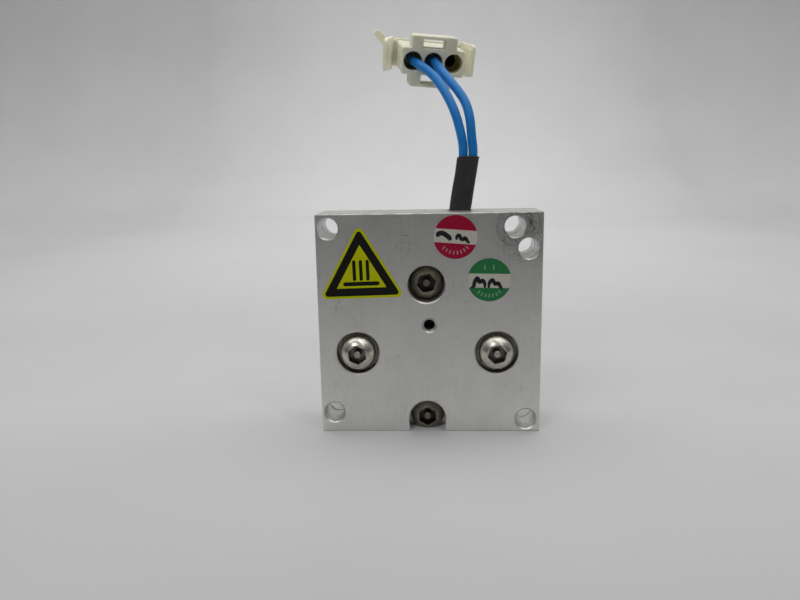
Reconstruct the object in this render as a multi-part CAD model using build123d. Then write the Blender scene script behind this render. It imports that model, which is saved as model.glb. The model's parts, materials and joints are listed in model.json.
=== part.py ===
"""Heater block: two clamped aluminium plates round a foil heater, with a two-wire lead and a connector.

Millimetres. +Z is up and -Y is the front face. The origin is the middle of the bottom face that the
block stands on. Every function below makes one named node, written to parts/NODE.step.
"""
from build123d import *
import os
from math import cos, radians, sin, tan

os.makedirs("parts", exist_ok=True)

# Plates
BLOCK_SIDE = 65.0
FRONT_THICK = 10.0
REAR_THICK = 8.0
EDGE_BREAK = 0.15
FRONT_Y = -(FRONT_THICK + REAR_THICK) / 2
SEAM_Y = FRONT_Y + FRONT_THICK
REAR_Y = SEAM_Y + REAR_THICK

# Plain mounting holes right through both plates, as (x, z)
CORNER_HOLE_R = 3.0
CORNER_HOLES = [(-28.9, 61.0), (24.5, 61.0), (28.5, 54.8), (-28.6, 5.9), (28.4, 3.8)]
HOLE_BREAK = 0.35

# Tapped M4 hole in the middle of the front face
TAP_R = 1.65
TAP_DEPTH = 8.0
TAP_BREAK = 0.6

# Four M6 clamp screws on one circle
SCREW_CENTRE = (-0.75, 24.2)
SCREW_CIRCLE_R = 20.4
SCREW_TOP = (SCREW_CENTRE[0], SCREW_CENTRE[1] + SCREW_CIRCLE_R)
SCREW_BOTTOM = (SCREW_CENTRE[0], SCREW_CENTRE[1] - SCREW_CIRCLE_R)
SCREW_LEFT = (SCREW_CENTRE[0] - SCREW_CIRCLE_R, SCREW_CENTRE[1])
SCREW_RIGHT = (SCREW_CENTRE[0] + SCREW_CIRCLE_R, SCREW_CENTRE[1])
THREAD_R = 3.0
THREAD_FIT = 0.05
CLEARANCE_R = 3.3
HEAD_R = 5.2
HEAD_RIM = 0.5
HEAD_HEIGHT = 4.4
HEAD_FLAT_R = 2.95
HEAD_BULGE = (4.6, 2.85)
SOCKET_ACROSS = 5.0
SOCKET_DEPTH = 2.6
PIN_R = 1.1
PIN_BELOW_TOP = 0.1
RECESSED_SPINS = (12, 30)
SIDE_SPINS = (36, 15)
RECESS_R = 5.4
RECESS_DEPTH = 6.6
SIDE_RECESS_R = 6.3
SIDE_RECESS_DEPTH = 4.6
RECESSED_SCREW_LENGTH = 10.0
SIDE_SCREW_LENGTH = 16.0
BOTTOM_HEAD_CUT = 0.2
WASHER_OUTER_R = 6.0
WASHER_INNER_R = 3.2
WASHER_THICK = 1.3
SPRING_OUTER_R = 5.8
SPRING_GAP = 1.2
SPRING_GAP_TURNS = (96, 82)

# Heater pocket in the rear plate and the layers in it
POCKET_HALF = 25.0
POCKET_LOW = 10.5
POCKET_HIGH = 54.0
POCKET_DEPTH = 1.6
ISLAND_R = 5.5
LAYER_GAP = 0.3
BASE_THICK = 0.25
TRACK_THICK = 0.15
COVER_THICK = 0.25
PAD_THICK = 0.9
COLUMNS = 19
COLUMN_PITCH = 2.6
TRACK_WIDTH = 1.2
TRACK_LOW = 12.2
TRACK_HIGH = 50.6
BUS_Z = 52.5
TRACK_CLEAR = 7.2
TAB_HALF = 3.2
TAB_TOP = 57.2

# Lead: sleeve and the two wires side by side in it
LEAD_X = 9.2
LEAD_Y = SEAM_Y + 1.85
CHANNEL_HALF = 3.7
CHANNEL_DEPTH = 3.8
WIRE_R = 1.35
WIRE_HALF_PITCH = 1.45
SLEEVE_HALF = 3.25
SLEEVE_HALF_THICK = 1.8
SLEEVE_WALL = 0.4
SLEEVE_START = 60.4
SLEEVE_END = 80.35
SPLICE_R = 1.3
SPLICE_LOW = 55.0
SPLICE_HIGH = 58.0
TONGUE_HALF = 0.9
TONGUE_THICK = 0.3
TONGUE_LOW = 54.2
WEB_HEIGHT = 0.6

# Connector, in its own axes: x along the row of cavities, y up, z out of the wire face
CONNECTOR_CENTRE = (1.8, 17.55, 109.27)
CONNECTOR_YAW = 8.0
CONNECTOR_TILT = 15.0
CONNECTOR_ROLL = 4.3
CAVITY_PITCH = 6.35
CAVITY_R = 2.8
CAVITY_DEPTH = 9.0
CAVITY_BREAK = 0.25
CONTACT_BORE_R = 1.9
BODY_HALF_W = 9.75
BODY_HALF_H = 3.95
BODY_LENGTH = 20.0
WALL_ROUND = 0.8
FACE_ROUND = 0.35
BRIDGE_HALF_W = 7.0
BRIDGE_LEG = 3.5
BRIDGE_HEIGHT = 3.6
BRIDGE_BAR = 1.0
BRIDGE_LENGTH = 7.0
FLANGE_HALF_W = 14.2
FLANGE_HALF_H = 4.4
FLANGE_THICK = 1.6
KEY_FIN = [(-13.0, 0.6), (-11.4, 3.2), (-16.4, 6.7), (-17.6, 5.3)]
SILO_R = 2.9
SILO_LENGTH = 6.4
SILO_BORE_R = 1.7
LATCH_BEAD_R = 0.7
LATCH_BEAD_FIT = 0.05
LATCH_ROOT_X = 11.6
LATCH_ROOT_Z = -18.4
LATCH_TIP_X = 14.3
LATCH_TIP_Z = -9.6
LATCH_THICK = 1.1
LATCH_HALF_H = 5.0
LATCH_ROUND = 1.5
THUMB_RIB_BACK = (0.9, 2.3, 3.7)
THUMB_RIB_DEPTH = 0.7
THUMB_RIB_WIDTH = 0.6
THUMB_RIB_SHORT = 1.5
BARREL_R = 1.65
BARREL_LENGTH = 5.0
CRIMP_DEPTH = 2.6
CRIMP_FIT = 0.13
SOCKET_R = 1.35
SOCKET_BORE_R = 1.05
SOCKET_BORE_DEPTH = 6.0
CONTACT_END = 25.6

# Labels on the front face
LABEL_THICK = 0.12
TRIANGLE_CENTRE = (-19.6, 47.95)
TRIANGLE_SIDE = 24.9
TRIANGLE_TURN = 1.5
TRIANGLE_ROUND = 1.3
ROUND_LABEL_R = 6.25
RED_LABEL = (7.65, 58.2)
GREEN_LABEL = (17.3, 45.8)

# Routes of the two wires from their splices to their crimps
LEFT_WIRE = [
    (7.75, 2.85, 58.0), (7.75, 2.85, 63.8), (8.6, 2.85, 69.9), (9.7, 2.85, 76.3), (10.6, 2.85, 82.5),
    (9.5, 3.2, 88.2), (8.1, 4.4, 93.2), (6.2, 6.3, 97.6), (4.0, 8.9, 101.6), (1.4, 12.0, 105.3),
    (-2.1, 15.1, 108.2), (-4.6, 19.4, 110.2), (-5.5, 23.5, 111.6), (-6.0, 27.55, 112.71)]
RIGHT_WIRE = [
    (10.65, 2.85, 58.0), (10.65, 2.85, 63.8), (11.5, 2.85, 69.6), (12.5, 2.85, 75.4), (13.4, 2.85, 81.3),
    (12.75, 3.0, 86.7), (12.4, 3.8, 91.6), (11.3, 5.4, 96.1), (9.0, 7.7, 99.9), (6.3, 10.6, 103.4),
    (3.8, 14.3, 107.0), (2.1, 19.4, 109.9), (0.87, 24.15, 111.06), (0.25, 28.55, 112.25)]


def y_rod(x, z, radius, y0, y1):
    """Cylinder along Y from y0 to y1."""
    return Pos(x, (y0 + y1) / 2, z) * Rot(90, 0, 0) * Cylinder(radius, y1 - y0)


def y_cone(x, z, front_radius, rear_radius, y0, y1):
    """Cone along Y, with front_radius at y0 and rear_radius at y1."""
    return Pos(x, (y0 + y1) / 2, z) * Rot(90, 0, 0) * Cone(rear_radius, front_radius, y1 - y0)


def y_ring(x, z, outer, inner, y0, y1):
    return y_rod(x, z, outer, y0, y1) - y_rod(x, z, inner, y0 - 1, y1 + 1)


def slab(x0, x1, y0, y1, z0, z1):
    return Pos((x0 + x1) / 2, (y0 + y1) / 2, (z0 + z1) / 2) * Box(x1 - x0, y1 - y0, z1 - z0)


def broken_hole(x, z, radius, y0, y1, edge):
    """Through hole with both mouths broken by a small chamfer."""
    over = 1.0
    hole = y_rod(x, z, radius, y0 - over, y1 + over)
    front = y_cone(x, z, radius + edge + over, radius, y0 - over, y0 + edge)
    rear = y_cone(x, z, radius, radius + edge + over, y1 - edge, y1 + over)
    return hole + front + rear


def plate(y0, y1):
    body = slab(-BLOCK_SIDE / 2, BLOCK_SIDE / 2, y0, y1, 0, BLOCK_SIDE)
    body = chamfer(body.edges(), EDGE_BREAK)
    for x, z in CORNER_HOLES:
        body -= broken_hole(x, z, CORNER_HOLE_R, y0, y1, HOLE_BREAK)
    return body


def recess(x, z, radius, depth):
    """Counterbore in the front face with a broken rim."""
    over = 1.0
    floor = FRONT_Y + depth
    rim = y_cone(x, z, radius + HOLE_BREAK + over, radius, FRONT_Y - over, FRONT_Y + HOLE_BREAK)
    return y_rod(x, z, radius, FRONT_Y - over, floor) + rim


def front_plate():
    body = plate(FRONT_Y, SEAM_Y)
    for x, z in (SCREW_LEFT, SCREW_RIGHT):
        body -= recess(x, z, SIDE_RECESS_R, SIDE_RECESS_DEPTH)
    for x, z in (SCREW_TOP, SCREW_BOTTOM):
        body -= recess(x, z, RECESS_R, RECESS_DEPTH)
    x, z = SCREW_BOTTOM
    over = 1.0
    body -= slab(x - RECESS_R, x + RECESS_R, FRONT_Y - over, FRONT_Y + RECESS_DEPTH, -over, z)
    for x, z in (SCREW_LEFT, SCREW_RIGHT, SCREW_TOP, SCREW_BOTTOM):
        body -= y_rod(x, z, CLEARANCE_R, FRONT_Y, SEAM_Y + over)
    mid = BLOCK_SIDE / 2
    body -= y_rod(0, mid, TAP_R, FRONT_Y - over, FRONT_Y + TAP_DEPTH)
    body -= y_cone(0, mid, TAP_R, 0.01, FRONT_Y + TAP_DEPTH, FRONT_Y + TAP_DEPTH + TAP_R / 2)
    body -= y_cone(0, mid, TAP_R + TAP_BREAK + over, TAP_R, FRONT_Y - over, FRONT_Y + TAP_BREAK)
    return body


def rear_plate():
    body = plate(SEAM_Y, REAR_Y)
    pocket = slab(-POCKET_HALF, POCKET_HALF, SEAM_Y - 1, SEAM_Y + POCKET_DEPTH, POCKET_LOW, POCKET_HIGH)
    for x, z in (SCREW_LEFT, SCREW_RIGHT, SCREW_TOP):
        pocket -= y_rod(x, z, ISLAND_R, SEAM_Y - 2, REAR_Y)
    body -= pocket
    low = POCKET_HIGH - 1
    body -= slab(LEAD_X - CHANNEL_HALF, LEAD_X + CHANNEL_HALF, SEAM_Y - 1, SEAM_Y + CHANNEL_DEPTH,
                 low, BLOCK_SIDE + 1)
    for x, z in (SCREW_LEFT, SCREW_RIGHT, SCREW_TOP, SCREW_BOTTOM):
        body -= broken_hole(x, z, THREAD_R, SEAM_Y, REAR_Y, HOLE_BREAK)
    return body


def layer(y0, thick, high, tab_top=None):
    """One sheet of the heater sandwich, cut out round the three screw islands."""
    half = POCKET_HALF - LAYER_GAP
    sheet = slab(-half, half, y0, y0 + thick, POCKET_LOW + LAYER_GAP, high)
    if tab_top:
        sheet += slab(LEAD_X - TAB_HALF, LEAD_X + TAB_HALF, y0, y0 + thick, high - 1, tab_top)
    for x, z in (SCREW_LEFT, SCREW_RIGHT, SCREW_TOP):
        sheet -= y_rod(x, z, ISLAND_R + LAYER_GAP, y0 - 1, y0 + thick + 1)
    return sheet


BASE_Y = SEAM_Y
TRACK_Y = BASE_Y + BASE_THICK
COVER_Y = TRACK_Y + TRACK_THICK
PAD_Y = COVER_Y + COVER_THICK
LAYER_HIGH = POCKET_HIGH - LAYER_GAP


def heater_base_sheet():
    return layer(BASE_Y, BASE_THICK, LAYER_HIGH, TAB_TOP)


def heater_cover_sheet():
    return layer(COVER_Y, COVER_THICK, LAYER_HIGH)


def thermal_pad():
    return layer(PAD_Y, PAD_THICK, LAYER_HIGH)


def column_reach(x):
    """Lowest and highest point that a straight leg of the track may reach at x."""
    low = TRACK_LOW
    high = TRACK_HIGH
    if min(abs(x - SCREW_LEFT[0]), abs(x - SCREW_RIGHT[0])) < TRACK_CLEAR:
        low = SCREW_LEFT[1] + TRACK_CLEAR
    if abs(x - SCREW_TOP[0]) < TRACK_CLEAR:
        high = SCREW_TOP[1] - TRACK_CLEAR
    return low, high


def heater_track():
    """Etched resistance track: one winding line from one tail to the other."""
    half = TRACK_WIDTH / 2

    def leg(x0, z0, x1, z1):
        x0, x1 = min(x0, x1) - half, max(x0, x1) + half
        z0, z1 = min(z0, z1) - half, max(z0, z1) + half
        return slab(x0, x1, TRACK_Y, COVER_Y, z0, z1)

    xs = [(COLUMNS - 1) / 2 * COLUMN_PITCH - i * COLUMN_PITCH for i in range(COLUMNS)]
    reach = [column_reach(x) for x in xs]
    ends = [BUS_Z]
    legs = []
    for i in range(COLUMNS - 1):
        bottom = i % 2 == 0
        level = max(reach[i][0], reach[i + 1][0]) if bottom else min(reach[i][1], reach[i + 1][1])
        legs.append(leg(xs[i], level, xs[i + 1], level))
        ends.append(level)
    ends.append(BUS_Z)
    for i, x in enumerate(xs):
        legs.append(leg(x, ends[i], x, ends[i + 1]))
    for x, side in ((xs[0], 1), (xs[-1], -1)):
        tail = LEAD_X + side * WIRE_HALF_PITCH
        legs.append(leg(x, BUS_Z, tail, BUS_Z))
        legs.append(leg(tail, BUS_Z, tail, TAB_TOP - 1))
    track = legs[0]
    for piece in legs[1:]:
        track += piece
    return track


def splice_barrels():
    """Two butt splices, each a barrel against its wire's end and a tongue soldered to a track tail."""
    made = []
    for side in (-1, 1):
        x = LEAD_X + side * WIRE_HALF_PITCH
        low, high = x - TONGUE_HALF, x + TONGUE_HALF
        web_top = SPLICE_LOW + WEB_HEIGHT
        barrel = Pos(x, LEAD_Y, (SPLICE_LOW + SPLICE_HIGH) / 2) * Cylinder(SPLICE_R, SPLICE_HIGH - SPLICE_LOW)
        tongue = slab(low, high, COVER_Y, COVER_Y + TONGUE_THICK, TONGUE_LOW, web_top)
        web = slab(low, high, COVER_Y, LEAD_Y, SPLICE_LOW, web_top)
        made.append(barrel + tongue + web)
    return Compound(children=made)


def rounded_path(points, name=None):
    """Straight runs joined by tangent arcs, each arc as large as its two runs allow."""
    places = [Vector(*p) for p in points]
    runs = [b - a for a, b in zip(places, places[1:])]
    radii = []
    for before, after in zip(runs, runs[1:]):
        turn = before.get_angle(after)
        radii.append(0.45 * min(before.length, after.length) / tan(radians(turn / 2)))
    path = FilletPolyline(*places, radius=radii)
    if name:
        longest = max(r.length for r in runs)
        print(f"{name}: length {path.length:.1f}, longest run {longest:.1f}, radii",
              [round(r, 1) for r in radii])
    return path


def wire(points, name):
    path = rounded_path(points, name)
    tube = sweep(Plane(origin=path @ 0, z_dir=path % 0) * Circle(WIRE_R), path=path)
    print(f"{name}: volume {tube.volume:.2f}, section times length "
          f"{Circle(WIRE_R).area * path.length:.2f}")
    return tube


def lead_sleeve():
    """Flat shrink sleeve round both wires, from inside the block to a little way above it."""
    pairs = zip(LEFT_WIRE[1:5], RIGHT_WIRE[1:5])
    middle = [(Vector(*left) + Vector(*right)) / 2 for left, right in pairs]
    lean = middle[3] - middle[2]
    top = middle[2] + lean * ((SLEEVE_END - middle[2].Z) / lean.Z)
    start = Vector(middle[0].X, middle[0].Y, SLEEVE_START)
    path = rounded_path([tuple(v) for v in (start, *middle[:3], top)])
    base = Plane(origin=path @ 0, x_dir=(1, 0, 0), z_dir=path % 0)

    def section(half_w, half_t):
        return SlotCenterToCenter(2 * (half_w - half_t), 2 * half_t)

    outer = sweep(base * section(SLEEVE_HALF, SLEEVE_HALF_THICK), path=path)
    inner = sweep(base * section(SLEEVE_HALF - SLEEVE_WALL, SLEEVE_HALF_THICK - SLEEVE_WALL), path=path)
    return outer - inner


def connector_place():
    yaw, tilt, roll = (radians(v) for v in (CONNECTOR_YAW, CONNECTOR_TILT, CONNECTOR_ROLL))
    inward = Vector(-sin(yaw) * cos(tilt), cos(yaw) * cos(tilt), sin(tilt))
    level = Vector(cos(yaw), sin(yaw), 0)
    upright = level.cross(inward)
    along = level * cos(roll) - upright * sin(roll)
    return Location(Plane(origin=CONNECTOR_CENTRE, x_dir=along, z_dir=-inward))


CONNECTOR = connector_place()


def c_box(x0, x1, y0, y1, z0, z1):
    """Box in the connector's own axes."""
    return slab(x0, x1, y0, y1, z0, z1)


def c_rod(x, y, radius, z0, z1):
    """Cylinder along the connector's own z."""
    return Pos(x, y, (z0 + z1) / 2) * Cylinder(radius, z1 - z0)


def bridge(sign):
    """U-shaped guard rail on one long side of the housing."""
    low = BODY_HALF_H - 0.2
    high = BODY_HALF_H + BRIDGE_HEIGHT
    y0, y1 = sorted((sign * low, sign * high))
    rail = c_box(-BRIDGE_HALF_W, BRIDGE_HALF_W, y0, y1, -BRIDGE_LENGTH, 0)
    rail = fillet(rail.edges().filter_by(Axis.Z).group_by(Axis.Y)[-1 if sign > 0 else 0], WALL_ROUND)
    y0, y1 = sorted((sign * (BODY_HALF_H - 1), sign * (high - BRIDGE_BAR)))
    inside = BRIDGE_HALF_W - BRIDGE_LEG
    return rail - c_box(-inside, inside, y0, y1, -BRIDGE_LENGTH - 1, 1)


def hinge_bead(side, grow=0.0):
    """Round bead on which a latch turns, along the connector's y."""
    bead = Cylinder(LATCH_BEAD_R + grow, 2 * LATCH_HALF_H)
    return Pos(side * LATCH_ROOT_X, 0, LATCH_ROOT_Z) * Rot(90, 0, 0) * bead


def flange():
    """Plate round the far end of the housing, with a slanted keying fin at one corner."""
    back = -BODY_LENGTH
    plate = c_box(-FLANGE_HALF_W, FLANGE_HALF_W, -FLANGE_HALF_H, FLANGE_HALF_H, back - FLANGE_THICK, back)
    plate = fillet(plate.edges().filter_by(Axis.Z), 2 * WALL_ROUND)
    fin = make_face(Polyline(*KEY_FIN, close=True))
    fin = fillet(fin.vertices(), FACE_ROUND)
    return plate + Pos(0, 0, back - FLANGE_THICK) * extrude(fin, FLANGE_THICK)


def connector_housing():
    body = c_box(-BODY_HALF_W, BODY_HALF_W, -BODY_HALF_H, BODY_HALF_H, -BODY_LENGTH, 0)
    body = fillet(body.edges().filter_by(Axis.Z), WALL_ROUND)
    for sign in (-1, 1):
        body += bridge(sign)
    body = fillet(body.faces().sort_by(Axis.Z)[-1].edges(), FACE_ROUND)
    back = -BODY_LENGTH
    body += flange()
    for side in (-1, 1):
        x0, x1 = sorted((side * (BODY_HALF_W - 0.3), side * (LATCH_ROOT_X + 2 * WALL_ROUND)))
        body += c_box(x0, x1, -BODY_HALF_H, BODY_HALF_H, back, LATCH_ROOT_Z - 0.15)
        body -= hinge_bead(side, LATCH_BEAD_FIT)
    for i in (-1, 0, 1):
        x = i * CAVITY_PITCH
        body += c_rod(x, 0, SILO_R, back - FLANGE_THICK - SILO_LENGTH, back)
    for i in (-1, 0, 1):
        x = i * CAVITY_PITCH
        body -= c_rod(x, 0, CAVITY_R, -CAVITY_DEPTH, 1)
        body -= Pos(x, 0, -CAVITY_BREAK / 2) * Cone(CAVITY_R, CAVITY_R + CAVITY_BREAK, CAVITY_BREAK)
        body -= c_rod(x, 0, CONTACT_BORE_R, back, -CAVITY_DEPTH)
        body -= c_rod(x, 0, SILO_BORE_R, back - FLANGE_THICK - SILO_LENGTH - 1, back)
    return CONNECTOR * body


def connector_latch(side):
    """Springy ear on one end of the housing: hinge bead, flared arm and ribbed thumb pad."""
    root = Vector(side * LATCH_ROOT_X, 0, LATCH_ROOT_Z)
    tip = Vector(side * LATCH_TIP_X, 0, LATCH_TIP_Z)
    arm_dir = (tip - root).normalized()
    length = (tip - root).length
    place = Location(Plane(origin=root, x_dir=(0, side, 0), z_dir=arm_dir))
    arm = Pos(0, 0, length / 2) * Box(2 * LATCH_HALF_H, LATCH_THICK, length)
    arm = fillet(arm.edges().filter_by(Axis.Y).group_by(Axis.Z)[-1], LATCH_ROUND)
    for back in THUMB_RIB_BACK:
        rib = Box(2 * (LATCH_HALF_H - THUMB_RIB_SHORT), THUMB_RIB_DEPTH, THUMB_RIB_WIDTH)
        arm += Pos(0, LATCH_THICK / 2, length - back) * rib
    return CONNECTOR * (hinge_bead(side) + place * arm)


def crimp_contacts():
    """Socket contacts crimped to the two wires, in the left and middle cavities."""
    made = []
    for i in (-1, 0):
        x = i * CAVITY_PITCH
        shape = c_rod(x, 0, BARREL_R, -CAVITY_DEPTH - BARREL_LENGTH, -CAVITY_DEPTH + 0.6)
        shape += c_rod(x, 0, SOCKET_R, -CONTACT_END, -CAVITY_DEPTH - BARREL_LENGTH)
        shape -= c_rod(x, 0, WIRE_R + CRIMP_FIT, -CAVITY_DEPTH - CRIMP_DEPTH, 1)
        shape -= c_rod(x, 0, SOCKET_BORE_R, -CONTACT_END - 1, -CONTACT_END + SOCKET_BORE_DEPTH)
        made.append(CONNECTOR * shape)
    return Compound(children=made)


def cap_screw(length):
    """Button-head screw with a pin in its hexagon socket, head up, underside of the head at z = 0."""
    section = Polyline((0, 0), (HEAD_R, 0), (HEAD_R, HEAD_RIM))
    section += ThreePointArc((HEAD_R, HEAD_RIM), HEAD_BULGE, (HEAD_FLAT_R, HEAD_HEIGHT))
    section += Polyline((HEAD_FLAT_R, HEAD_HEIGHT), (0, HEAD_HEIGHT), (0, 0))
    head = revolve(make_face(Plane.XZ * section), Axis.Z)
    socket = extrude(RegularPolygon(SOCKET_ACROSS / 2, 6, major_radius=False), SOCKET_DEPTH)
    head -= Pos(0, 0, HEAD_HEIGHT - SOCKET_DEPTH) * socket
    pin_top = HEAD_HEIGHT - PIN_BELOW_TOP
    pin_low = HEAD_HEIGHT - SOCKET_DEPTH - 0.2
    pin = Pos(0, 0, (pin_low + pin_top) / 2) * Cylinder(PIN_R, pin_top - pin_low)
    pin = chamfer(pin.edges().group_by(Axis.Z)[-1], 0.2)
    shank = Pos(0, 0, -length / 2) * Cylinder(THREAD_R - THREAD_FIT, length)
    shank = chamfer(shank.edges().group_by(Axis.Z)[0], 0.6)
    return head + pin + shank


def front_facing(x, y, z, spin=0.0):
    """Place a piece that is made pointing up so that it points out of the front face."""
    return Pos(x, y, z) * Rot(90, 0, 0) * Rot(0, 0, spin)


def recessed_clamp_screws():
    floor = FRONT_Y + RECESS_DEPTH
    made = []
    for (x, z), spin in zip((SCREW_TOP, SCREW_BOTTOM), RECESSED_SPINS):
        screw = front_facing(x, floor, z, spin) * cap_screw(RECESSED_SCREW_LENGTH)
        if z == SCREW_BOTTOM[1]:
            screw -= slab(x - 2 * HEAD_R, x + 2 * HEAD_R, FRONT_Y - 1, SEAM_Y, -HEAD_R, BOTTOM_HEAD_CUT)
        made.append(screw)
    return Compound(children=made)


SIDE_FLOOR = FRONT_Y + SIDE_RECESS_DEPTH
FLAT_FRONT = SIDE_FLOOR - WASHER_THICK
SPRING_FRONT = FLAT_FRONT - WASHER_THICK


def side_clamp_screws():
    made = [front_facing(x, SPRING_FRONT, z, spin) * cap_screw(SIDE_SCREW_LENGTH)
            for (x, z), spin in zip((SCREW_LEFT, SCREW_RIGHT), SIDE_SPINS)]
    return Compound(children=made)


def side_flat_washers():
    made = [y_ring(x, z, WASHER_OUTER_R, WASHER_INNER_R, FLAT_FRONT, SIDE_FLOOR)
            for x, z in (SCREW_LEFT, SCREW_RIGHT)]
    return Compound(children=made)


def side_spring_washers():
    """Split spring washers, squeezed flat, each with a slanted gap."""
    made = []
    for (x, z), turn in zip((SCREW_LEFT, SCREW_RIGHT), SPRING_GAP_TURNS):
        ring = y_ring(x, z, SPRING_OUTER_R, WASHER_INNER_R, SPRING_FRONT, FLAT_FRONT)
        gap = Pos(x, (SPRING_FRONT + FLAT_FRONT) / 2, z) * Rot(0, turn, 0) * Pos(SPRING_OUTER_R - 1.0, 0, 0)
        ring -= gap * Rot(25, 0, 0) * Box(6, 4, SPRING_GAP)
        made.append(ring)
    return Compound(children=made)


def label(outline):
    """Thin sticker on the front face from a flat outline drawn in x and z."""
    return Pos(0, FRONT_Y, 0) * Rot(90, 0, 0) * extrude(outline, LABEL_THICK)


def hot_surface_label():
    outline = RegularPolygon(TRIANGLE_SIDE / 3 ** 0.5, 3, rotation=90 + TRIANGLE_TURN)
    return label(Pos(*TRIANGLE_CENTRE) * fillet(outline.vertices(), TRIANGLE_ROUND))


def round_label(centre):
    return label(Pos(centre[0], centre[1]) * Circle(ROUND_LABEL_R))


NODES = {
    "front_plate": front_plate,
    "rear_plate": rear_plate,
    "heater_base_sheet": heater_base_sheet,
    "heater_track": heater_track,
    "heater_cover_sheet": heater_cover_sheet,
    "thermal_pad": thermal_pad,
    "splice_barrels": splice_barrels,
    "lead_wire_left": lambda: wire(LEFT_WIRE, "lead_wire_left"),
    "lead_wire_right": lambda: wire(RIGHT_WIRE, "lead_wire_right"),
    "lead_sleeve": lead_sleeve,
    "connector_housing": connector_housing,
    "connector_latch_left": lambda: connector_latch(-1),
    "connector_latch_right": lambda: connector_latch(1),
    "crimp_contacts": crimp_contacts,
    "recessed_clamp_screws": recessed_clamp_screws,
    "side_clamp_screws": side_clamp_screws,
    "side_flat_washers": side_flat_washers,
    "side_spring_washers": side_spring_washers,
    "hot_surface_label": hot_surface_label,
    "round_label_red": lambda: round_label(RED_LABEL),
    "round_label_green": lambda: round_label(GREEN_LABEL),
}

for name, make in NODES.items():
    export_step(make(), f"parts/{name}.step")
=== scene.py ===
"""Looks of the heater block: camera, cords, stage, soft and printed pieces, and every material."""
import json
import math

import bpy
from mathutils import Euler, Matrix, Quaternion, Vector


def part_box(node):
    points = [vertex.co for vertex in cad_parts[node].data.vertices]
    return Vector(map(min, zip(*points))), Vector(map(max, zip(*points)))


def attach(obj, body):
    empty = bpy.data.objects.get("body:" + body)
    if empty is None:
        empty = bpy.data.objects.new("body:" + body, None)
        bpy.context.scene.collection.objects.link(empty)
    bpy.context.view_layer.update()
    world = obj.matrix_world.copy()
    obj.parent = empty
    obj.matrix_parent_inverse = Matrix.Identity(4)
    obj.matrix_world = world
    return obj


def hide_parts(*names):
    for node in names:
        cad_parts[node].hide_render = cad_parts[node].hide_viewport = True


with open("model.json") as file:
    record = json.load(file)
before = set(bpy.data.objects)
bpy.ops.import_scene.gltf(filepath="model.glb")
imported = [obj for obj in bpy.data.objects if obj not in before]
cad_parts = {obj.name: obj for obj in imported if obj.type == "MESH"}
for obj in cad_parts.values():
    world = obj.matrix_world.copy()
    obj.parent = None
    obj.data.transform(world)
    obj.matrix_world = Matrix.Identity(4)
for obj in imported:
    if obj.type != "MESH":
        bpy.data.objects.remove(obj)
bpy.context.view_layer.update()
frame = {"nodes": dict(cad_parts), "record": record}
nodes = frame["nodes"]
mounts = {m["name"]: Vector(m["pos_m"]) for m in frame["record"]["mounts"]}
mating_face = next(m for m in frame["record"]["mounts"] if m["name"] == "connector_mating_face")

MM = 0.001
PLATE_LOW, PLATE_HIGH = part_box("front_plate")
FRONT_Y = PLATE_LOW.y
BLOCK_TOP = PLATE_HIGH.z

CAMERA_PLACE = (1.2 * MM, -205.8 * MM, 78.7 * MM)
CAMERA_DOWN = 11.08
CAMERA_LEFT = 2.8
CAMERA_ROLL = -0.97
CAMERA_LENS = 31.15
CAMERA_SENSOR = 36.0

WIRE_DIAMETER = 2.7 * MM
LEFT_WIRE = [
    (7.75, 2.85, 58.0), (7.75, 2.85, 63.8), (8.6, 2.85, 69.9), (9.7, 2.85, 76.3), (10.6, 2.85, 82.5),
    (9.5, 3.2, 88.2), (8.1, 4.4, 93.2), (6.2, 6.3, 97.6), (4.0, 8.9, 101.6), (1.4, 12.0, 105.3),
    (-2.1, 15.1, 108.2), (-4.6, 19.4, 110.2), (-5.5, 23.5, 111.6), (-6.0, 27.55, 112.71)]
RIGHT_WIRE = [
    (10.65, 2.85, 58.0), (10.65, 2.85, 63.8), (11.5, 2.85, 69.6), (12.5, 2.85, 75.4), (13.4, 2.85, 81.3),
    (12.75, 3.0, 86.7), (12.4, 3.8, 91.6), (11.3, 5.4, 96.1), (9.0, 7.7, 99.9), (6.3, 10.6, 103.4),
    (3.8, 14.3, 107.0), (2.1, 19.4, 109.9), (0.87, 24.15, 111.06), (0.25, 28.55, 112.25)]
WIRE_IN_CAVITY = 11.5 * MM
LEFT_WIRE_LENGTH = 71 * MM
RIGHT_WIRE_LENGTH = 70 * MM

SLEEVE_HALF_WIDTH = 3.25 * MM
SLEEVE_HALF_DEPTH = 1.8 * MM
SLEEVE_WALL = 0.4 * MM
SLEEVE_VALLEY = 0.16 * MM
SLEEVE_VALLEY_WIDTH = 0.75 * MM
SLEEVE_DROOP = 0.35 * MM
SLEEVE_RINGS = 48
SLEEVE_AROUND = 64

HOLE_RADIUS = 3.0 * MM
TAPPED_RADIUS = 1.8 * MM
THREAD_PITCH = 0.7 * MM
HEAD_RADIUS = 5.2 * MM
CAVITY_RADIUS = 2.9 * MM
CAVITY_LENGTH = 9.2 * MM
CONTACT_BORE_RADIUS = 1.95 * MM

LABEL_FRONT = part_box("hot_surface_label")[0].y
ROUND_LABEL_RADIUS = 6.25 * MM
INK = 0.012 * MM


# ---------------------------------------------------------------- building helpers

def link_object(name, data):
    piece = bpy.data.objects.new(name, data)
    bpy.context.scene.collection.objects.link(piece)
    return piece


def mesh_object(name, corners, faces, smooth=False):
    mesh = bpy.data.meshes.new(name)
    mesh.from_pydata([tuple(c) for c in corners], [], faces)
    mesh.validate()
    mesh.polygons.foreach_set("use_smooth", [smooth] * len(mesh.polygons))
    return link_object(name, mesh)


def on_circle(radius, degrees, centre=(0.0, 0.0)):
    turn = math.radians(degrees)
    return centre[0] + radius * math.cos(turn), centre[1] + radius * math.sin(turn)


# ---------------------------------------------------------------- camera, cords, stage

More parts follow.
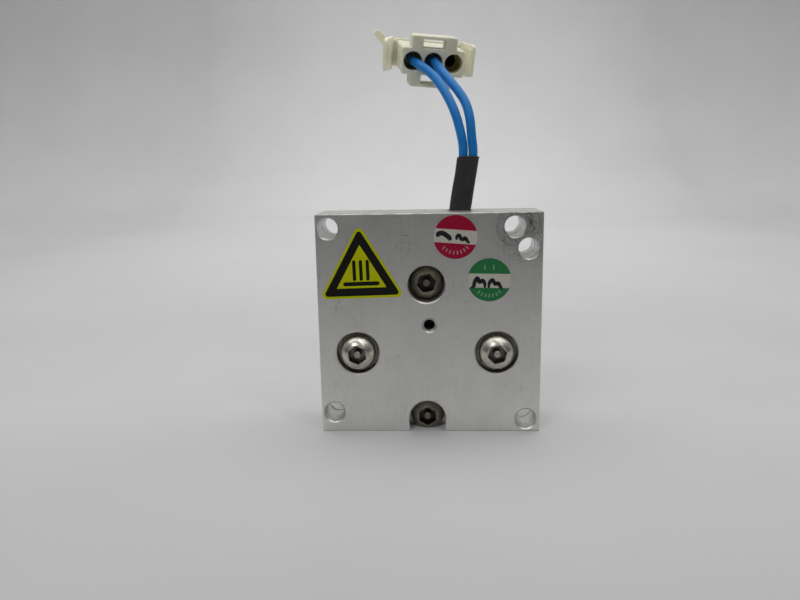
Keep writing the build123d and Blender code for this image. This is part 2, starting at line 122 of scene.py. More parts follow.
def make_camera():
    data = bpy.data.cameras.new("camera")
    data.lens = CAMERA_LENS
    data.sensor_width = CAMERA_SENSOR
    data.clip_start = 0.01
    camera = link_object("camera", data)
    camera.location = CAMERA_PLACE
    camera.rotation_mode = "QUATERNION"
    aim = Euler((math.radians(90 - CAMERA_DOWN), 0, math.radians(CAMERA_LEFT))).to_quaternion()
    camera.rotation_quaternion = aim @ Quaternion((0, 0, 1), math.radians(CAMERA_ROLL))
    bpy.context.scene.camera = camera


def wire_curve(name, points):
    """One smooth spline with the route's points as its control points, whose radius is the wire's.

    A point's radius also pads the curve's box, so the bevel is 1 m and the radius scales it down.
    """
    curve = bpy.data.curves.new(name, "CURVE")
    curve.dimensions = "3D"
    curve.resolution_u = 24
    curve.bevel_depth = 1.0
    curve.bevel_resolution = 8
    curve.use_fill_caps = True
    spline = curve.splines.new("NURBS")
    spline.points.add(len(points) - 1)
    for point, spot in zip(spline.points, points):
        point.co = (*(v * MM for v in spot), 1.0)
        point.radius = WIRE_DIAMETER / 2
    spline.order_u = 3
    spline.use_endpoint_u = True
    spline.use_smooth = True
    return link_object(name, curve)


def make_wires(sleeve):
    """Two blue wires from the block to the connector that they hold up."""
    housing = nodes["connector_housing"]
    on_left = [housing, nodes["connector_latch_left"], nodes["connector_latch_right"],
               nodes["crimp_contacts"], sleeve]
    jobs = (("blue_wire_left", "lead_wire_left", LEFT_WIRE, LEFT_WIRE_LENGTH, on_left),
            ("blue_wire_right", "lead_wire_right", RIGHT_WIRE, RIGHT_WIRE_LENGTH, [housing]))
    made = []
    for name, cad_node, route, length, on_it in jobs:
        wire = wire_curve(name, route)
        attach(wire, "root")
        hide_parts(cad_node)
        made.append(wire)
    return made


def make_sleeve():
    """Shrunk tube round both wires: flat-sided, with a shallow valley where the wires meet."""
    low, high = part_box("lead_sleeve")
    half_width, half_depth = SLEEVE_HALF_WIDTH, SLEEVE_HALF_DEPTH
    rings, around, wall, droop = SLEEVE_RINGS, SLEEVE_AROUND, SLEEVE_WALL, SLEEVE_DROOP
    middle = [(Vector(a) + Vector(b)) * MM / 2 for a, b in zip(LEFT_WIRE[1:5], RIGHT_WIRE[1:5])]

    def centre(z):
        for a, b in zip(middle, middle[1:]):
            if z <= b.z:
                return a.lerp(b, max(0.0, (z - a.z) / (b.z - a.z)))
        return middle[-1]

    def ring(z, inset, pinch, droop=0.0):
        here = centre(z)
        straight = half_width - half_depth
        radius = half_depth - inset
        points = []
        for i in range(around):
            turn = 2 * math.pi * i / around
            x = radius * math.cos(turn) + math.copysign(straight, math.cos(turn))
            y = radius * math.sin(turn)
            y *= 1 - pinch * math.exp(-(x / SLEEVE_VALLEY_WIDTH) ** 2)
            wave = 0.035 * MM * math.sin(z / (2.1 * MM) + 2 * math.sin(turn))
            points.append((here.x + x * (1 + wave / half_width), here.y + y,
                           z - droop * (x / half_width) ** 4))
        return points

    pinch = SLEEVE_VALLEY / half_depth
    heights = [low.z + (high.z - low.z) * i / rings for i in range(rings + 1)]
    loops = [ring(z, 0.0, pinch) for z in heights]
    loops[-1] = ring(high.z, 0.08 * MM, pinch, droop)
    loops.insert(-1, ring(high.z - 0.1 * MM, 0.0, pinch, droop))
    loops += [ring(high.z - 0.12 * MM, wall, 0.0, droop)]
    loops += [ring(z, wall, 0.0) for z in reversed(heights[:-1:4])]
    corners = [c for loop in loops for c in loop]
    faces = []
    for k in range(len(loops)):
        here, there = k * around, (k + 1) % len(loops) * around
        faces += [(here + i, here + (i + 1) % around, there + (i + 1) % around, there + i)
                  for i in range(around)]
    sleeve = mesh_object("black_sleeve", corners, faces, smooth=True)
    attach(sleeve, "root")
    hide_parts("lead_sleeve")
    return sleeve


def make_stage():
    """Pale floor that turns up into a backdrop far behind the object, its colour carrying a painted pool of
    light.
    """
    reach, back, bend = 2.2, 0.75, 0.35
    profile = [(-reach, 0.0), (back, 0.0)]
    profile += [(back + bend * math.sin(a), bend * (1 - math.cos(a)))
                for a in (math.radians(7.5 * i) for i in range(1, 13))]
    profile.append((back + bend, reach))
    corners = [(x, y, z) for y, z in profile for x in (-reach, reach)]
    faces = [(2 * i, 2 * i + 1, 2 * i + 3, 2 * i + 2) for i in range(len(profile) - 1)]
    floor = mesh_object("floor", corners, faces, smooth=True)
    paint(floor, floor_white())


def area_light(name, spot, target, size, power, colour=(1, 1, 1)):
    data = bpy.data.lights.new(name, "AREA")
    data.shape = "RECTANGLE"
    data.size, data.size_y = size
    data.energy = power
    data.color = colour
    lamp = link_object(name, data)
    lamp.location = spot
    lamp.rotation_mode = "QUATERNION"
    lamp.rotation_quaternion = (Vector(target) - Vector(spot)).to_track_quat("-Z", "Y")


def make_light():
    """Soft ceiling light, and a room that is bright above and dim behind the camera."""
    world = bpy.data.worlds.new("room")
    bpy.context.scene.world = world
    world.use_nodes = True
    tree = world.node_tree
    sky = node(tree, "ShaderNodeTexCoord").outputs["Generated"]
    axes = node(tree, "ShaderNodeSeparateXYZ", {0: sky}).outputs
    above = spread(tree, axes[2], 0.05, 0.8, 0.0, 0.30)
    behind = spread(tree, axes[1], -0.3, 0.8, 0.0, 0.34)
    glow = total(tree, above, behind, 0.03)
    tree.links.new(glow, tree.nodes["Background"].inputs[1])
    tree.nodes["Background"].inputs[0].default_value = (0.96, 0.98, 1.0, 1.0)
    area_light("ceiling_light", (0.0, 0.30, 1.0), (0, 0.12, 0), (2.1, 0.8), 9.6, (1.0, 0.995, 0.98))
    area_light("strip_light", (0.34, -0.35, 0.95), (0, 0, 0.04), (0.07, 0.9), 1.1)
    area_light("window_light", (-0.42, -0.75, 0.95), (0, 0, 0.04), (0.46, 0.26), 2.7)
    scene = bpy.context.scene
    scene.view_settings.view_transform = "Standard"
    scene.view_settings.look = "None"


# ---------------------------------------------------------------- node helpers

def node(tree, kind, values=None, **props):
    """Add a node; values maps an input's name or number to a socket to link, or to a plain value."""
    made = tree.nodes.new(kind)
    for key, value in props.items():
        setattr(made, key, value)
    for key, value in (values or {}).items():
        if isinstance(value, bpy.types.NodeSocket):
            tree.links.new(value, made.inputs[key])
        else:
            made.inputs[key].default_value = value
    return made


def maths(tree, operation, *values):
    return node(tree, "ShaderNodeMath", dict(enumerate(values)), operation=operation).outputs[0]


def place(tree):
    """Position in the row frame: every piece's object sits at the origin."""
    return node(tree, "ShaderNodeTexCoord").outputs["Object"]


def scaled(tree, vector, scale):
    return node(tree, "ShaderNodeVectorMath", {0: vector, 1: scale}, operation="MULTIPLY").outputs[0]


def distance(tree, vector, centre):
    """Distance from centre in the XZ plane."""
    flat = scaled(tree, vector, (1, 0, 1))
    values = {0: flat, 1: (centre[0], 0, centre[2])}
    return node(tree, "ShaderNodeVectorMath", values, operation="DISTANCE").outputs["Value"]


def noise(tree, vector, scale, detail=3.0, roughness=0.55, warp=0.0):
    values = {"Vector": vector, "Scale": scale, "Detail": detail, "Roughness": roughness,
              "Distortion": warp}
    return node(tree, "ShaderNodeTexNoise", values).outputs["Fac"]


def ramp(tree, value, *stops):
    """Colour ramp with (position, colour) stops."""
    made = node(tree, "ShaderNodeValToRGB", {0: value})
    elements = made.color_ramp.elements
    while len(elements) < len(stops):
        elements.new(0.5)
    for element, (position, colour) in zip(elements, stops):
        element.position = position
        element.color = (*colour, 1.0)
    return made.outputs[0]


def spread(tree, value, low, high, to_low=0.0, to_high=1.0):
    """Map value from low..high to to_low..to_high, clamped."""
    values = {0: value, 1: low, 2: high, 3: to_low, 4: to_high}
    return node(tree, "ShaderNodeMapRange", values).outputs[0]


def band(tree, value, middle, half):
    """1 where value is at middle, falling to 0 at half away from it."""
    off = maths(tree, "ABSOLUTE", maths(tree, "SUBTRACT", value, middle))
    return spread(tree, off, 0.0, half, 1.0, 0.0)


def product(tree, *values):
    result = values[0]
    for value in values[1:]:
        result = maths(tree, "MULTIPLY", result, value)
    return result


def total(tree, *values):
    result = values[0]
    for value in values[1:]:
        result = maths(tree, "ADD", result, value)
    return result


def shade(tree, colour, amount):
    """Multiply a colour by an amount."""
    return node(tree, "ShaderNodeVectorMath", {0: colour, 3: amount}, operation="SCALE").outputs[0]


def bump(tree, height, depth, strength=1.0, normal=None):
    values = {"Height": height, "Distance": depth, "Strength": strength}
    if normal is not None:
        values["Normal"] = normal
    return node(tree, "ShaderNodeBump", values).outputs[0]


def material(name, make):
    """Build a material from a function that returns the values of its principled shader."""
    made = bpy.data.materials.new(name)
    made.use_nodes = True
    tree = made.node_tree
    tree.nodes.clear()
    shader = node(tree, "ShaderNodeBsdfPrincipled", make(tree, place(tree)))
    node(tree, "ShaderNodeOutputMaterial", {"Surface": shader.outputs[0]})
    return made


def paint(piece, look):
    piece.data.materials.clear()
    piece.data.materials.append(look)


# ---------------------------------------------------------------- materials

def floor_white():
    def make(tree, where):
        cloud = noise(tree, where, 9.0, 4.0)
        colour = ramp(tree, cloud, (0.3, (0.60, 0.60, 0.605)), (0.7, (0.63, 0.63, 0.632)))
        axes = node(tree, "ShaderNodeSeparateXYZ", {0: where}).outputs
        off_centre = product(tree, axes[0], axes[0])
        # Painted light: the floor is darker far in front and towards the sides, and the backdrop brighter,
        # darkening towards its top.
        light = product(tree, spread(tree, axes[1], -0.45, 0.0, 0.20, 0.84),
                        spread(tree, axes[1], 0.1, 0.9, 1.0, 1.58),
                        spread(tree, off_centre, 0.0, 0.16, 1.07, 0.85),
                        spread(tree, axes[2], 0.05, 0.40, 1.0, 0.90))
        return {"Base Color": shade(tree, colour, light), "Roughness": 0.55, "Specular IOR Level": 0.25}
    return material("floor_white", make)


def hairlines(tree, where, stretch, scale, width):
    """Sparse fine scratches: thin level lines of a stretched noise, broken up by a coarser one."""
    lines = noise(tree, scaled(tree, where, stretch), scale, 1.0)
    gate = spread(tree, noise(tree, where, 160.0, 2.0), 0.55, 0.65)
    return product(tree, band(tree, lines, 0.5, width), gate)


def spot_mask(tree, where, centre, full, gone):
    """1 within full of a centre in the XZ plane, falling to 0 at gone."""
    return spread(tree, distance(tree, where, centre), full, gone, 1.0, 0.0)


def milled_aluminium():
    """Flat-milled plate with upright grain, soft clouds, scuffs, and marks in and round its holes, with
    painted shade deep in the tapped hole and towards the top, and a painted reflection of the floor at the
    bottom.
    """
    holes = [spot for name, spot in mounts.items() if name.startswith("corner_hole")]
    ring_hole = mounts["corner_hole_top_right"]
    tapped = mounts["tapped_hole_m4"]
    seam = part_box("rear_plate")[0].y
    scuff_spot = Vector((28.9, 0, 62.0)) * MM
    nick_spot = Vector((-6.4, 0, 58.8)) * MM
    worn_corner = Vector((28.0, 0, 60.0)) * MM

    def face_marks(tree, where, height, speckle):
        """Witness ring and worn disc round one hole, a scuff, a nick, and pits in the worn corner."""
        from_ring = distance(tree, where, ring_hole)
        ring = product(tree, band(tree, from_ring, 5.4 * MM, 0.3 * MM),
                       spread(tree, noise(tree, where, 260.0, 2.0), 0.38, 0.6))
        worn = product(tree, spread(tree, from_ring, 5.2 * MM, 5.6 * MM, 1.0, 0.0),
                       spread(tree, speckle, 0.35, 0.65))
        scuff = product(tree, spot_mask(tree, where, scuff_spot, 0.2 * MM, 1.7 * MM),
                        spread(tree, noise(tree, where, 1300.0, 3.0, 0.7, 0.8), 0.5, 0.56))
        nick = product(tree, spot_mask(tree, where, nick_spot, 0.2 * MM, 1.1 * MM),
                       band(tree, height, nick_spot.z + 0.02 * MM, 0.18 * MM))
        near = spot_mask(tree, where, worn_corner, 6.0 * MM, 12.0 * MM)
        pits = product(tree, near, spread(tree, noise(tree, where, 2600.0, 3.0, 0.75), 0.50, 0.60))
        return total(tree, product(tree, ring, 0.36), product(tree, worn, 0.18),
                     product(tree, scuff, 0.55), product(tree, nick, 0.7), product(tree, pits, 0.5))

    def in_tapped(tree, where):
        return spot_mask(tree, where, tapped, TAPPED_RADIUS, TAPPED_RADIUS + 0.1 * MM)

    def bore_marks_and_shade(tree, where, depth):
        """Drilled rings and the plates' seam in the corner holes, and painted shade deep in the tapped hole.
        """
        nearest = distance(tree, where, holes[0])
        for spot in holes[1:]:
            nearest = maths(tree, "MINIMUM", nearest, distance(tree, where, spot))
        inside = spread(tree, nearest, HOLE_RADIUS + 0.02 * MM, HOLE_RADIUS + 0.06 * MM, 1.0, 0.0)
        rings = noise(tree, scaled(tree, where, (0.12, 1, 0.12)), 2100.0, 3.0, 0.6)
        walls = total(tree, spread(tree, rings, 0.35, 0.65, -0.35, 0.22),
                      product(tree, band(tree, depth, seam, 0.3 * MM), 0.8))
        # Painted shade: the tapped hole darkens from 0.5 mm to 2 mm inside the face.
        tapped_hole_shade = product(tree, in_tapped(tree, where),
                                 spread(tree, depth, FRONT_Y + 0.5 * MM, FRONT_Y + 2.0 * MM))
        return total(tree, product(tree, inside, walls), product(tree, tapped_hole_shade, 0.8))

    def make(tree, where):
        axes = node(tree, "ShaderNodeSeparateXYZ", {0: where}).outputs
        grain = noise(tree, scaled(tree, where, (1, 1, 0.035)), 2400.0, 3.0, 0.6)
        speckle = noise(tree, where, 1500.0, 4.0, 0.7)
        cloud = noise(tree, where, 55.0, 5.0, 0.6)
        stain = noise(tree, where, 170.0, 4.0, 0.65, 0.6)
        lines = total(tree, hairlines(tree, where, (1, 1, 0.12), 420.0, 0.012),
                      hairlines(tree, where, (0.15, 1, 1), 380.0, 0.010))
        on_top = spread(tree, axes[2], BLOCK_TOP - 0.05 * MM, BLOCK_TOP - 0.01 * MM)
        mottle = product(tree, on_top, spread(tree, noise(tree, where, 700.0, 3.0, 0.6, 0.7), 0.46, 0.56))
        on_edge = product(tree, spread(tree, axes[2], BLOCK_TOP - 0.2 * MM, BLOCK_TOP - 0.15 * MM),
                          spread(tree, axes[1], FRONT_Y + 0.17 * MM, FRONT_Y + 0.2 * MM, 1.0, 0.0),
                          spread(tree, noise(tree, where, 260.0, 3.0), 0.42, 0.58, 0.15, 0.5))
        on_face = spread(tree, axes[1], FRONT_Y + 0.3 * MM, FRONT_Y + 0.6 * MM, 1.0, 0.0)
        marks = product(tree, face_marks(tree, where, axes[2], speckle), on_face)
        dark = total(tree, marks, bore_marks_and_shade(tree, where, axes[1]),
                     product(tree, lines, 0.16), product(tree, mottle, 0.14), on_edge)
        # The last two terms are painted light: shade towards the top, and a painted reflection of the floor
        # brightening the bottom.
        light = total(tree, spread(tree, cloud, 0.3, 0.7, 0.93, 1.03),
                      spread(tree, grain, 0.3, 0.7, -0.022, 0.022),
                      spread(tree, speckle, 0.3, 0.7, -0.045, 0.045),
                      spread(tree, stain, 0.55, 0.75, 0.0, -0.05),
                      spread(tree, axes[2], 30.0 * MM, 60.0 * MM, 0.0, -0.06),
                      spread(tree, axes[2], 0.0, 14.0 * MM, 0.12, 0.0))
        colour = shade(tree, (0.75, 0.742, 0.715), maths(tree, "SUBTRACT", light, dark))
        rough = total(tree, spread(tree, stain, 0.3, 0.7, 0.36, 0.44), product(tree, lines, -0.08))
        wave = maths(tree, "SINE", maths(tree, "MULTIPLY", axes[1], 2 * math.pi / THREAD_PITCH))
        normal = bump(tree, product(tree, wave, in_tapped(tree, where)), 0.16 * MM)
        normal = bump(tree, grain, 0.003 * MM, 0.7, normal)
        normal = bump(tree, total(tree, speckle, product(tree, lines, -0.6)), 0.006 * MM, 0.8, normal)
        return {"Base Color": colour, "Metallic": 1.0, "Roughness": rough, "Normal": normal}
    return material("milled_aluminium", make)


def turned_steel(name, cad_name, across, tint, roughness):
    """Stainless with fine rings round each screw's own axis, with painted shade in and round the socket and a
    painted highlight on the outer dome; the pair lies along x or z.
    """
    low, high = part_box("side_clamp_screws")
    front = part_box(cad_name)[0].y
    middle_x, middle_z = (low.x + high.x) / 2, (low.z + high.z) / 2
    apart = (high.x - low.x) / 2 - HEAD_RADIUS

    def make(tree, where):
        axes = node(tree, "ShaderNodeSeparateXYZ", {0: where}).outputs
        x = maths(tree, "SUBTRACT", axes[0], middle_x)
        z = maths(tree, "SUBTRACT", axes[2], middle_z)
        if across:
            x = maths(tree, "SUBTRACT", maths(tree, "ABSOLUTE", x), apart)
        else:
            z = maths(tree, "SUBTRACT", maths(tree, "ABSOLUTE", z), apart)
        radius = maths(tree, "SQRT", total(tree, product(tree, x, x), product(tree, z, z)))
        rings = maths(tree, "SINE", maths(tree, "MULTIPLY", radius, 2 * math.pi / (0.16 * MM)))
        speckle = noise(tree, where, 1800.0, 4.0, 0.65)
        grime = noise(tree, where, 420.0, 4.0, 0.6, 0.4)
        # Painted shade: inside the socket, below the head's top, the steel is darkened.
        socket_shade = product(tree, spread(tree, radius, 2.9 * MM, 3.0 * MM, 1.0, 0.0),
                            spread(tree, axes[1], front + 0.15 * MM, front + 0.5 * MM))
        # Grime is dirt; the radius terms paint shade round the socket and a painted highlight on the outer
        # dome.
        light = product(tree, spread(tree, grime, 0.35, 0.7, 1.05, 0.78),
                        spread(tree, radius, 2.2 * MM, 3.2 * MM, 0.72, 1.0),
                        spread(tree, radius, 3.8 * MM, 4.5 * MM, 1.0, 1.5),
                        spread(tree, socket_shade, 0.0, 1.0, 1.0, 0.34))
        colour = shade(tree, ramp(tree, speckle, (0.3, tint), (0.7, tuple(c * 1.12 for c in tint))), light)
        rough = total(tree, spread(tree, grime, 0.35, 0.7, roughness, roughness + 0.16),
                      product(tree, rings, 0.02))
        normal = bump(tree, rings, 0.003 * MM, 0.6)
        normal = bump(tree, speckle, 0.004 * MM, 0.7, normal)
        return {"Base Color": colour, "Metallic": 1.0, "Roughness": rough, "Normal": normal}
    return material(name, make)


def plain_metal(name, dark, light, roughness, scale):
    def make(tree, where):
        cloud = noise(tree, where, scale, 4.0)
        fine = noise(tree, where, scale * 6, 3.0)
        return {"Base Color": ramp(tree, cloud, (0.3, dark), (0.7, light)), "Metallic": 1.0,
                "Roughness": spread(tree, fine, 0.3, 0.7, roughness, roughness + 0.15),
                "Normal": bump(tree, fine, 0.004 * MM)}
    return material(name, make)


def cavity_depth(tree, where):
    """Depth in any of the three cavities: 0 outside, to 0.45 on the walls and to 1 in the narrow bores."""
    inward = Vector(mating_face["axis"])
    left_end, middle_end = (Vector(wire[-1]) * MM for wire in (LEFT_WIRE, RIGHT_WIRE))
    nearest = None
    for end in (left_end, middle_end, 2 * middle_end - left_end):
        off = node(tree, "ShaderNodeVectorMath", {0: where, 1: end}, operation="SUBTRACT").outputs[0]
        side = node(tree, "ShaderNodeVectorMath", {0: off, 1: inward}, operation="CROSS_PRODUCT").outputs[0]
        away = node(tree, "ShaderNodeVectorMath", {0: side}, operation="LENGTH").outputs["Value"]
        nearest = away if nearest is None else maths(tree, "MINIMUM", nearest, away)
    along = node(tree, "ShaderNodeVectorMath", {0: off, 1: inward}, operation="DOT_PRODUCT").outputs["Value"]
    depth = spread(tree, along, -WIRE_IN_CAVITY + 0.1 * MM, -WIRE_IN_CAVITY + 8.0 * MM)
    mouth_end = CAVITY_LENGTH - WIRE_IN_CAVITY
    walls = product(tree, spread(tree, nearest, CAVITY_RADIUS, CAVITY_RADIUS + 0.1 * MM, 0.45, 0.0),
                    spread(tree, along, mouth_end, mouth_end + 0.2 * MM, 1.0, 0.0))
    bores = spread(tree, nearest, CONTACT_BORE_RADIUS, CONTACT_BORE_RADIUS + 0.05 * MM, 1.0, 0.0)
    return product(tree, maths(tree, "MAXIMUM", walls, bores), depth)


def moulded_nylon():
    """Natural nylon: warm ivory, a little see-through, with a faint moulded grain and handling grime, painted
    shade into the cavities, and painted light on its ends.
    """
    def make(tree, where):
        cloud = noise(tree, where, 130.0, 4.0)
        flow = noise(tree, scaled(tree, where, (1, 0.25, 1)), 420.0, 3.0, 0.5, 0.8)
        grain = noise(tree, where, 3200.0, 3.0, 0.6)
        colour = ramp(tree, cloud, (0.3, (0.82, 0.80, 0.60)), (0.55, (0.86, 0.845, 0.69)),
                      (0.75, (0.88, 0.87, 0.77)))
        colour = shade(tree, colour, spread(tree, flow, 0.35, 0.7, 1.02, 0.95))
        # Painted shade: the cavities darken to olive on their walls and to black in the bores.
        cavity_shade = cavity_depth(tree, where)
        colour = scaled(tree, colour, ramp(tree, cavity_shade, (0.0, (1, 1, 1)), (0.2, (0.90, 0.84, 0.58)),
                                           (0.45, (0.74, 0.66, 0.36)), (0.7, (0.10, 0.08, 0.03)),
                                           (1.0, (0.01, 0.01, 0.01))))
        # Painted light: the ends by the latches are lighter, and the middle darker.
        across = node(tree, "ShaderNodeSeparateXYZ", {0: where}).outputs[0]
        colour = shade(tree, colour, product(tree, spread(tree, across, -13.0 * MM, -9.0 * MM, 1.2, 0.9),
                                             spread(tree, across, 9.0 * MM, 13.0 * MM, 1.0, 1.2)))
        rough = total(tree, spread(tree, cloud, 0.3, 0.7, 0.38, 0.5), product(tree, cavity_shade, 0.5))
        return {"Base Color": colour, "Roughness": rough,
                "Subsurface Weight": 0.45, "Subsurface Radius": (1.0, 0.85, 0.55),
                "Subsurface Scale": 1.6 * MM, "IOR": 1.53,
                "Normal": bump(tree, grain, 0.006 * MM, 0.7)}
    return material("moulded_nylon", make)


def wire_insulation():
    def make(tree, where):
        cloud = noise(tree, where, 240.0, 3.0)
        grain = noise(tree, scaled(tree, where, (1, 1, 0.2)), 1500.0, 3.0)
        colour = ramp(tree, cloud, (0.3, (0.006, 0.185, 0.56)), (0.7, (0.012, 0.235, 0.66)))
        return {"Base Color": colour, "Roughness": spread(tree, grain, 0.3, 0.7, 0.34, 0.46),
                "Specular IOR Level": 0.35, "Normal": bump(tree, grain, 0.008 * MM, 0.6)}
    return material("wire_insulation", make)


def shrunk_sleeve():
    def make(tree, where):
        cloud = noise(tree, where, 300.0, 3.0)
        wrinkle = noise(tree, scaled(tree, where, (1, 1, 0.22)), 1300.0, 4.0, 0.6, 0.5)
        colour = ramp(tree, cloud, (0.3, (0.022, 0.022, 0.023)), (0.7, (0.034, 0.034, 0.035)))
        return {"Base Color": colour, "Roughness": spread(tree, wrinkle, 0.3, 0.7, 0.42, 0.56),
                "Normal": bump(tree, wrinkle, 0.03 * MM, 0.6)}
    return material("shrunk_sleeve", make)


def film(name, dark, light, roughness=0.34):
    """Printed film or ink: a slight mottle, and the ripple that film takes from what is under it."""
    def make(tree, where):
        mottle = noise(tree, where, 1900.0, 4.0, 0.65)
        ripple = noise(tree, where, 210.0, 3.0)
        colour = ramp(tree, mottle, (0.3, dark), (0.7, light))
        return {"Base Color": colour, "Roughness": spread(tree, ripple, 0.3, 0.7, roughness, roughness + 0.1),
                "Specular IOR Level": 0.12, "Normal": bump(tree, ripple, 0.02 * MM, 0.5)}
    return material(name, make)


def soft_pad(name, dark, light, roughness):
    def make(tree, where):
        cloud = noise(tree, where, 200.0, 4.0)
        grain = noise(tree, where, 1600.0, 3.0)
        return {"Base Color": ramp(tree, cloud, (0.3, dark), (0.7, light)),
                "Roughness": spread(tree, grain, 0.3, 0.7, roughness - 0.06, roughness + 0.06),
                "Normal": bump(tree, grain, 0.01 * MM)}
    return material(name, make)


# ---------------------------------------------------------------- printed marks

def slab(name, loops, faces, front=LABEL_FRONT, thickness=INK):
    """Flat mark of a little thickness on a label; loops are (x, z) corners, faces index them."""
    count = len(loops)
    corners = [(x, front - thickness, z) for x, z in loops]
    corners += [(x, front, z) for x, z in loops]
    edges = {}
    for face in faces:
        for a, b in zip(face, face[1:] + face[:1]):
            edges[(a, b)] = edges.get((b, a), 0) or 1
    outline = [(a, b) for a, b in edges if (b, a) not in edges]
    solid = [tuple(f) for f in faces]
    solid += [tuple(count + i for i in reversed(f)) for f in faces]
    solid += [(b, a, count + a, count + b) for a, b in outline]
    return mesh_object(name, corners, solid)


def polygon(outline):
    """One face round an outline of (x, z) corners, listed anticlockwise as seen from the front."""
    return outline, [tuple(range(len(outline)))]


def join_shapes(shapes):
    """Several (corners, faces) shapes as one."""
    corners, faces = [], []
    for some, these in shapes:
        faces += [tuple(i + len(corners) for i in face) for face in these]
        corners += some
    return corners, faces


def rounded_triangle(side, rounding, steps=6):
    """Corners of an equilateral triangle about its centre, point up, with rounded corners."""
    reach = side / math.sqrt(3) - 2 * rounding
    outline = []
    for tip in (90, 210, 330):
        centre = on_circle(reach, tip)
        outline += [on_circle(rounding, tip - 60 + 120 * i / steps, centre) for i in range(steps + 1)]
    return outline


def turned(shape, centre, degrees):
    """A shape turned about its own origin and moved to centre."""
    corners, faces = shape
    c, s = math.cos(math.radians(degrees)), math.sin(math.radians(degrees))
    return [(centre[0] + c * x - s * z, centre[1] + s * x + c * z) for x, z in corners], faces


def bar(length, width, centre=(0.0, 0.0), degrees=0.0, steps=5):
    """A stroke with round ends."""
    half, radius = length / 2 - width / 2, width / 2
    outline = [on_circle(radius, -90 + 180 * i / steps, (half, 0)) for i in range(steps + 1)]
    outline += [on_circle(radius, 90 + 180 * i / steps, (-half, 0)) for i in range(steps + 1)]
    return turned(polygon(outline), centre, degrees)


def disc_band(radius, top, bottom, degrees, steps=10):
    """The part of a disc between two level chords, then tilted."""
    up, down = (math.degrees(math.asin(v / radius)) for v in (top, bottom))
    turns = [down + (up - down) * i / steps for i in range(steps + 1)]
    outline = [on_circle(radius, t) for t in turns] + [on_circle(radius, 180 - t) for t in reversed(turns)]
    return turned(polygon(outline), (0, 0), degrees)


def pen_stroke(points, width, steps=6):
    """A ribbon along a smooth line through the points, thinner at its ends."""
    line = [Vector((*p, 0)) for p in points]
    ends = [2 * line[0] - line[1], *line, 2 * line[-1] - line[-2]]
    path = []
    for a, b, c, d in zip(ends, ends[1:], ends[2:], ends[3:]):
        for i in range(steps):
            t = i / steps
            path.append(0.5 * (2 * b + (c - a) * t + (2 * a - 5 * b + 4 * c - d) * t * t
                               + (3 * b - 3 * c + d - a) * t ** 3))
    path.append(line[-1])
    corners = []
    for i, spot in enumerate(path):
        along = (path[min(i + 1, len(path) - 1)] - path[max(i - 1, 0)]).normalized()
        share = i / (len(path) - 1)
        half = width / 2 * (0.55 + 0.45 * min(1.0, 5 * share, 5 * (1 - share)))
        corners += [(spot.x - along.y * half, spot.y + along.x * half),
                    (spot.x + along.y * half, spot.y - along.x * half)]
    return corners, [(2 * i, 2 * i + 1, 2 * i + 3, 2 * i + 2) for i in range(len(path) - 1)]


def arc_ticks(radius, length, width, first, last, count):
    """Short radial dashes along an arc."""
    turns = [first + (last - first) * i / (count - 1) for i in range(count)]
    return join_shapes([bar(length, width, on_circle(radius, t), t) for t in turns])


def mark(name, shape, centre, degrees, look, lift=0.0):
    corners, faces = turned(shape, centre, degrees)
    piece = slab(name, corners, faces, LABEL_FRONT - lift)
    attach(piece, "root")
    paint(piece, look)


def make_triangle_marks(black):
    """Black border and plain upright strokes over a bar, on the yellow triangle."""
    centre, turn = (-19.6 * MM, 47.95 * MM), 1.5
    outer = rounded_triangle(22.5 * MM, 0.8 * MM)
    inner = rounded_triangle(14.5 * MM, 0.12 * MM)
    count = len(outer)
    border = (outer + inner, [(i, (i + 1) % count, count + (i + 1) % count, count + i)
                              for i in range(count)])
    mark("triangle_border", border, centre, turn, black)
    strokes = [bar(6.1 * MM, 0.98 * MM, (x * MM, 0.95 * MM), 90) for x in (-1.9, 0.05, 2.0)]
    strokes.append(bar(10.6 * MM, 1.2 * MM, (0.0, -2.95 * MM)))
    mark("triangle_strokes", join_shapes(strokes), centre, turn, black)


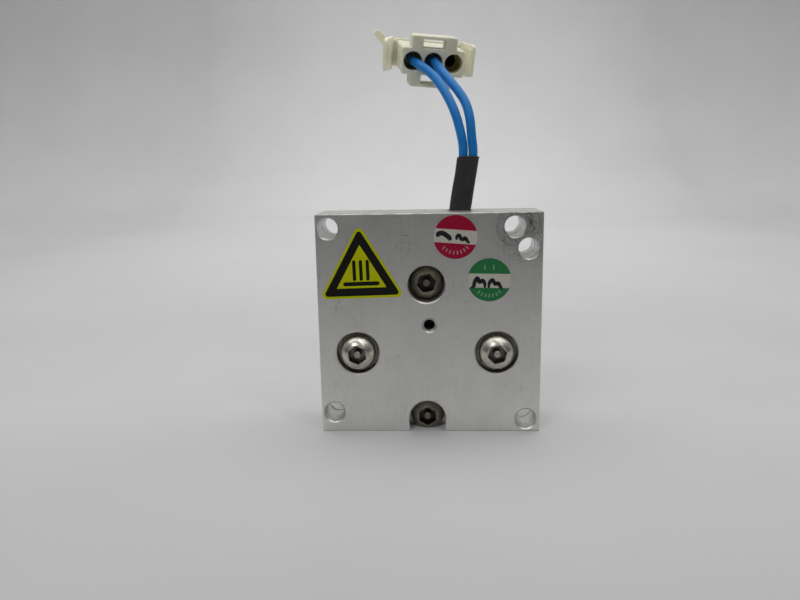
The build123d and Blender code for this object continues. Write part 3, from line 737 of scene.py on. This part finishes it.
def make_round_marks(white, pale_red, pale_green, pen):
    """White bands with pen squiggles, and plain ticks along the coloured parts, on the round labels."""
    radius = ROUND_LABEL_RADIUS
    red, green = (7.65 * MM, 58.2 * MM), (17.3 * MM, 45.8 * MM)
    hook = [(-0.81, 0.02), (-0.78, 0.15), (-0.6, 0.19), (-0.43, 0.1), (-0.28, -0.03), (-0.24, -0.15)]
    hump = [(0.04, -0.12), (0.07, 0.03), (0.17, 0.07), (0.24, -0.06), (0.33, -0.11), (0.43, -0.05),
            (0.52, -0.16), (0.63, -0.29)]
    first_wave = [(-0.85, -0.34), (-0.72, -0.3), (-0.66, -0.06), (-0.54, 0.09), (-0.45, -0.1),
                  (-0.31, -0.02), (-0.21, -0.17), (-0.2, -0.36)]
    second_wave = [(-0.03, -0.37), (0.0, -0.16), (0.14, 0.0), (0.27, -0.2), (0.4, -0.15), (0.5, -0.31),
                   (0.6, -0.42)]

    def squiggle(points, width):
        return pen_stroke([(x * radius, z * radius) for x, z in points], width)

    mark("red_label_band", disc_band(radius, 0.34 * radius, -0.29 * radius, -4.6), red, 0,
         white)
    mark("red_label_ticks", arc_ticks(0.72 * radius, 0.19 * radius, 0.065 * radius, 222, 318, 8), red, 0,
         pale_red)
    mark("red_label_pen", join_shapes([squiggle(hook, 1.4 * MM), squiggle(hump, 1.1 * MM)]), red, 0,
         pen, INK)
    mark("green_label_band", disc_band(radius, 0.29 * radius, -0.37 * radius, -1.3), green, 0,
         white)
    dashes = [bar(0.26 * radius, 0.06 * radius, (s * 0.2 * radius, 0.58 * radius), 90) for s in (-1, 1)]
    ticks = arc_ticks(0.74 * radius, 0.19 * radius, 0.065 * radius, 230, 310, 7)
    mark("green_label_ticks", join_shapes(dashes + [ticks]), green, 0, pale_green)
    mark("green_label_pen", join_shapes([squiggle(first_wave, 1.1 * MM), squiggle(second_wave, 1.05 * MM)]),
         green, 0, pen, INK)


# ---------------------------------------------------------------- the object

make_camera()
sleeve = make_sleeve()
wires = make_wires(sleeve)
make_stage()
make_light()

aluminium = milled_aluminium()
nylon = moulded_nylon()
blue = wire_insulation()
black_ink = film("black_ink", (0.008, 0.008, 0.007), (0.012, 0.012, 0.010), 0.4)
looks = {
    "front_plate": aluminium,
    "rear_plate": aluminium,
    "heater_base_sheet": film("amber_film", (0.42, 0.17, 0.03), (0.55, 0.26, 0.05)),
    "heater_track": plain_metal("etched_foil", (0.45, 0.40, 0.34), (0.58, 0.53, 0.47), 0.35, 300.0),
    "heater_cover_sheet": film("amber_cover_film", (0.45, 0.19, 0.04), (0.58, 0.28, 0.06)),
    "thermal_pad": soft_pad("pad_rubber", (0.30, 0.33, 0.38), (0.38, 0.41, 0.46), 0.8),
    "splice_barrels": plain_metal("tinned_splice", (0.62, 0.60, 0.55), (0.74, 0.72, 0.68), 0.3, 500.0),
    "connector_housing": nylon,
    "connector_latch_left": nylon,
    "connector_latch_right": nylon,
    "crimp_contacts": plain_metal("tinned_contact", (0.58, 0.55, 0.48), (0.72, 0.70, 0.64), 0.3, 600.0),
    # The recessed screws' darker tint is painted shade from their deep recesses.
    "recessed_clamp_screws": turned_steel("recess_shaded_screw_steel", "recessed_clamp_screws", False,
                                          (0.27, 0.245, 0.205), 0.34),
    "side_clamp_screws": turned_steel("bright_screw_steel", "side_clamp_screws", True,
                                      (0.58, 0.55, 0.485), 0.24),
    # Painted shade: the washers sit in the dark of the side recesses, so their steel is darkened.
    "side_flat_washers": plain_metal("washer_steel", (0.22, 0.22, 0.20), (0.36, 0.355, 0.33), 0.4, 700.0),
    "side_spring_washers": plain_metal("recess_shaded_spring_steel", (0.14, 0.14, 0.13), (0.26, 0.255, 0.24), 0.4, 800.0),
    "hot_surface_label": film("yellow_print", (0.50, 0.53, 0.001), (0.56, 0.59, 0.002)),
    "round_label_red": film("red_print", (0.31, 0.006, 0.032), (0.38, 0.010, 0.044)),
    "round_label_green": film("green_print", (0.020, 0.155, 0.052), (0.032, 0.205, 0.072)),
}
for name, look in looks.items():
    paint(nodes[name], look)
for wire in wires:
    paint(wire, blue)
paint(sleeve, shrunk_sleeve())

make_triangle_marks(black_ink)
make_round_marks(film("white_print", (0.51, 0.49, 0.42), (0.59, 0.57, 0.49)),
                 film("pale_red_print", (0.40, 0.19, 0.20), (0.47, 0.25, 0.26)),
                 film("pale_green_print", (0.17, 0.33, 0.20), (0.23, 0.40, 0.26)),
                 film("pen_ink", (0.014, 0.014, 0.018), (0.026, 0.026, 0.030), 0.5))
